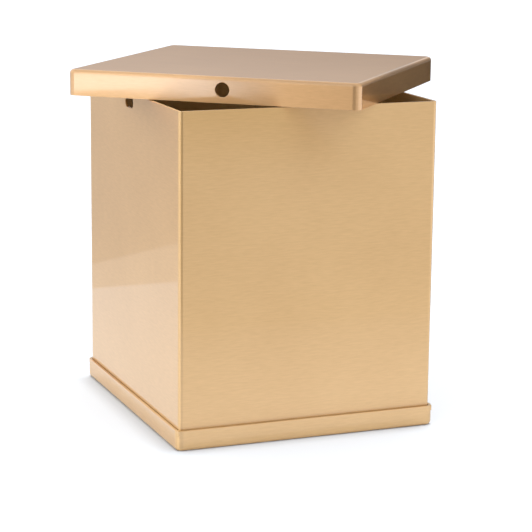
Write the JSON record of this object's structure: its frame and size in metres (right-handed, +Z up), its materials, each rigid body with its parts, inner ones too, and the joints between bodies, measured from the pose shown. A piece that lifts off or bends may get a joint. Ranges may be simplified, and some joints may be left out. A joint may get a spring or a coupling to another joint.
{
  "type": "cremation urn",
  "caption": "Box-shaped cremation urn of brushed bronze sheet: a four-wall body standing in a folded base tray, with a folded lid laid askew on its open rim.",
  "frame": {"origin": "centre of the base's flat underside, on the surface that the urn stands on", "axes": "+Z up through the open rim, +X along the front wall towards the right-hand wall, +Y from the front wall to the back wall"},
  "size_m": [0.2224, 0.2208, 0.1979],
  "materials": {
    "brushed_bronze": "satin brushed bronze with a clear coat, pale golden tan"
  },
  "bodies": {
    "root": {"body": "brushed_bronze", "base": "brushed_bronze", "lid": "brushed_bronze"}
  },
  "joints": []
}
